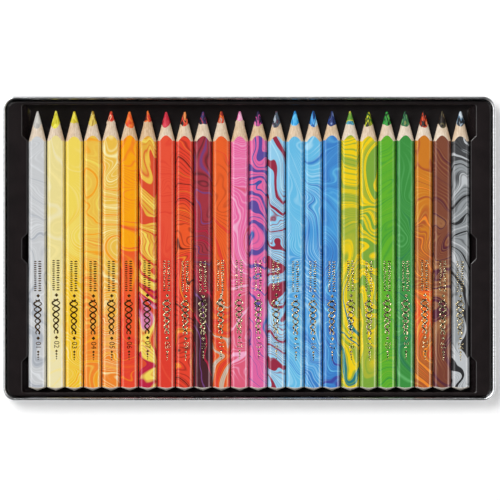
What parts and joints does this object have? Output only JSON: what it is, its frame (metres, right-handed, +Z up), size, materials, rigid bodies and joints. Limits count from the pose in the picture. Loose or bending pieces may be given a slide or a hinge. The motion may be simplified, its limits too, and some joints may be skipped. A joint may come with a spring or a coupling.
{
  "type": "colored pencil box",
  "caption": "Flat open metal tin with a curled rim and a black formed tray, holding a row of jumbo three-sided colored pencils with marbled barrels; pencils and tray lift out.",
  "frame": {"origin": "middle of the tin's flat underside", "axes": "+X along the long side, across the pencils; +Y along the pencils towards their points; +Z up"},
  "size_m": [0.308, 0.19, 0.016],
  "materials": {
    "tinplate": "bright tinplate, plain",
    "tray_plastic": "black thermoformed polystyrene, satin",
    "barrel_01": "marbled gloss lacquer on basswood, bare wood at the point",
    "lead_01": "waxy pigment lead of several colors",
    "barrel_02": "marbled gloss lacquer on basswood, bare wood at the point",
    "lead_02": "waxy pigment lead of several colors",
    "barrel_03": "marbled gloss lacquer on basswood, bare wood at the point",
    "lead_03": "waxy pigment lead of several colors",
    "barrel_04": "marbled gloss lacquer on basswood, bare wood at the point",
    "lead_04": "waxy pigment lead of several colors",
    "barrel_05": "marbled gloss lacquer on basswood, bare wood at the point",
    "lead_05": "waxy pigment lead of several colors",
    "barrel_06": "marbled gloss lacquer on basswood, bare wood at the point",
    "lead_06": "waxy pigment lead of several colors",
    "barrel_07": "marbled gloss lacquer on basswood, bare wood at the point",
    "lead_07": "waxy pigment lead of several colors",
    "barrel_08": "marbled gloss lacquer on basswood, bare wood at the point",
    "lead_08": "waxy pigment lead of several colors",
    "barrel_09": "marbled gloss lacquer on basswood, bare wood at the point",
    "lead_09": "waxy pigment lead of several colors",
    "barrel_10": "marbled gloss lacquer on basswood, bare wood at the point",
    "lead_10": "waxy pigment lead of several colors",
    "barrel_11": "marbled gloss lacquer on basswood, bare wood at the point",
    "lead_11": "waxy pigment lead of several colors",
    "barrel_12": "marbled gloss lacquer on basswood, bare wood at the point",
    "lead_12": "waxy pigment lead of several colors",
    "barrel_13": "marbled gloss lacquer on basswood, bare wood at the point",
    "lead_13": "waxy pigment lead of several colors",
    "barrel_14": "marbled gloss lacquer on basswood, bare wood at the point",
    "lead_14": "waxy pigment lead of several colors",
    "barrel_15": "marbled gloss lacquer on basswood, bare wood at the point",
    "lead_15": "waxy pigment lead of several colors",
    "barrel_16": "marbled gloss lacquer on basswood, bare wood at the point",
    "lead_16": "waxy pigment lead of several colors",
    "barrel_17": "marbled gloss lacquer on basswood, bare wood at the point",
    "lead_17": "waxy pigment lead of several colors",
    "barrel_18": "marbled gloss lacquer on basswood, bare wood at the point",
    "lead_18": "waxy pigment lead of several colors",
    "barrel_19": "marbled gloss lacquer on basswood, bare wood at the point",
    "lead_19": "waxy pigment lead of several colors",
    "barrel_20": "marbled gloss lacquer on basswood, bare wood at the point",
    "lead_20": "waxy pigment lead of several colors",
    "barrel_21": "marbled gloss lacquer on basswood, bare wood at the point",
    "lead_21": "waxy pigment lead of several colors",
    "barrel_22": "marbled gloss lacquer on basswood, bare wood at the point",
    "lead_22": "waxy pigment lead of several colors",
    "barrel_23": "marbled gloss lacquer on basswood, bare wood at the point",
    "lead_23": "waxy pigment lead of several colors",
    "barrel_24": "marbled gloss lacquer on basswood, bare wood at the point",
    "lead_24": "waxy pigment lead of several colors"
  },
  "bodies": {
    "tin": {"tin_base": "tinplate"},
    "tray": {"tray": "tray_plastic"},
    "pencil_01": {"pencil_01_barrel": "barrel_01", "pencil_01_lead": "lead_01"},
    "pencil_02": {"pencil_02_barrel": "barrel_02", "pencil_02_lead": "lead_02"},
    "pencil_03": {"pencil_03_barrel": "barrel_03", "pencil_03_lead": "lead_03"},
    "pencil_04": {"pencil_04_barrel": "barrel_04", "pencil_04_lead": "lead_04"},
    "pencil_05": {"pencil_05_barrel": "barrel_05", "pencil_05_lead": "lead_05"},
    "pencil_06": {"pencil_06_barrel": "barrel_06", "pencil_06_lead": "lead_06"},
    "pencil_07": {"pencil_07_barrel": "barrel_07", "pencil_07_lead": "lead_07"},
    "pencil_08": {"pencil_08_barrel": "barrel_08", "pencil_08_lead": "lead_08"},
    "pencil_09": {"pencil_09_barrel": "barrel_09", "pencil_09_lead": "lead_09"},
    "pencil_10": {"pencil_10_barrel": "barrel_10", "pencil_10_lead": "lead_10"},
    "pencil_11": {"pencil_11_barrel": "barrel_11", "pencil_11_lead": "lead_11"},
    "pencil_12": {"pencil_12_barrel": "barrel_12", "pencil_12_lead": "lead_12"},
    "pencil_13": {"pencil_13_barrel": "barrel_13", "pencil_13_lead": "lead_13"},
    "pencil_14": {"pencil_14_barrel": "barrel_14", "pencil_14_lead": "lead_14"},
    "pencil_15": {"pencil_15_barrel": "barrel_15", "pencil_15_lead": "lead_15"},
    "pencil_16": {"pencil_16_barrel": "barrel_16", "pencil_16_lead": "lead_16"},
    "pencil_17": {"pencil_17_barrel": "barrel_17", "pencil_17_lead": "lead_17"},
    "pencil_18": {"pencil_18_barrel": "barrel_18", "pencil_18_lead": "lead_18"},
    "pencil_19": {"pencil_19_barrel": "barrel_19", "pencil_19_lead": "lead_19"},
    "pencil_20": {"pencil_20_barrel": "barrel_20", "pencil_20_lead": "lead_20"},
    "pencil_21": {"pencil_21_barrel": "barrel_21", "pencil_21_lead": "lead_21"},
    "pencil_22": {"pencil_22_barrel": "barrel_22", "pencil_22_lead": "lead_22"},
    "pencil_23": {"pencil_23_barrel": "barrel_23", "pencil_23_lead": "lead_23"},
    "pencil_24": {"pencil_24_barrel": "barrel_24", "pencil_24_lead": "lead_24"}
  },
  "joints": [
    {"name": "tray_lift", "type": "slide", "parent": "tin", "child": "tray", "axis": [0, 0, 1], "range_m": [0, 0.03]},
    {"name": "pencil_01_lift", "type": "slide", "parent": "tray", "child": "pencil_01", "axis": [0, 0, 1], "range_m": [0, 0.03]},
    {"name": "pencil_02_lift", "type": "slide", "parent": "tray", "child": "pencil_02", "axis": [0, 0, 1], "range_m": [0, 0.03]},
    {"name": "pencil_03_lift", "type": "slide", "parent": "tray", "child": "pencil_03", "axis": [0, 0, 1], "range_m": [0, 0.03]},
    {"name": "pencil_04_lift", "type": "slide", "parent": "tray", "child": "pencil_04", "axis": [0, 0, 1], "range_m": [0, 0.03]},
    {"name": "pencil_05_lift", "type": "slide", "parent": "tray", "child": "pencil_05", "axis": [0, 0, 1], "range_m": [0, 0.03]},
    {"name": "pencil_06_lift", "type": "slide", "parent": "tray", "child": "pencil_06", "axis": [0, 0, 1], "range_m": [0, 0.03]},
    {"name": "pencil_07_lift", "type": "slide", "parent": "tray", "child": "pencil_07", "axis": [0, 0, 1], "range_m": [0, 0.03]},
    {"name": "pencil_08_lift", "type": "slide", "parent": "tray", "child": "pencil_08", "axis": [0, 0, 1], "range_m": [0, 0.03]},
    {"name": "pencil_09_lift", "type": "slide", "parent": "tray", "child": "pencil_09", "axis": [0, 0, 1], "range_m": [0, 0.03]},
    {"name": "pencil_10_lift", "type": "slide", "parent": "tray", "child": "pencil_10", "axis": [0, 0, 1], "range_m": [0, 0.03]},
    {"name": "pencil_11_lift", "type": "slide", "parent": "tray", "child": "pencil_11", "axis": [0, 0, 1], "range_m": [0, 0.03]},
    {"name": "pencil_12_lift", "type": "slide", "parent": "tray", "child": "pencil_12", "axis": [0, 0, 1], "range_m": [0, 0.03]},
    {"name": "pencil_13_lift", "type": "slide", "parent": "tray", "child": "pencil_13", "axis": [0, 0, 1], "range_m": [0, 0.03]},
    {"name": "pencil_14_lift", "type": "slide", "parent": "tray", "child": "pencil_14", "axis": [0, 0, 1], "range_m": [0, 0.03]},
    {"name": "pencil_15_lift", "type": "slide", "parent": "tray", "child": "pencil_15", "axis": [0, 0, 1], "range_m": [0, 0.03]},
    {"name": "pencil_16_lift", "type": "slide", "parent": "tray", "child": "pencil_16", "axis": [0, 0, 1], "range_m": [0, 0.03]},
    {"name": "pencil_17_lift", "type": "slide", "parent": "tray", "child": "pencil_17", "axis": [0, 0, 1], "range_m": [0, 0.03]},
    {"name": "pencil_18_lift", "type": "slide", "parent": "tray", "child": "pencil_18", "axis": [0, 0, 1], "range_m": [0, 0.03]},
    {"name": "pencil_19_lift", "type": "slide", "parent": "tray", "child": "pencil_19", "axis": [0, 0, 1], "range_m": [0, 0.03]},
    {"name": "pencil_20_lift", "type": "slide", "parent": "tray", "child": "pencil_20", "axis": [0, 0, 1], "range_m": [0, 0.03]},
    {"name": "pencil_21_lift", "type": "slide", "parent": "tray", "child": "pencil_21", "axis": [0, 0, 1], "range_m": [0, 0.03]},
    {"name": "pencil_22_lift", "type": "slide", "parent": "tray", "child": "pencil_22", "axis": [0, 0, 1], "range_m": [0, 0.03]},
    {"name": "pencil_23_lift", "type": "slide", "parent": "tray", "child": "pencil_23", "axis": [0, 0, 1], "range_m": [0, 0.03]},
    {"name": "pencil_24_lift", "type": "slide", "parent": "tray", "child": "pencil_24", "axis": [0, 0, 1], "range_m": [0, 0.03]}
  ]
}
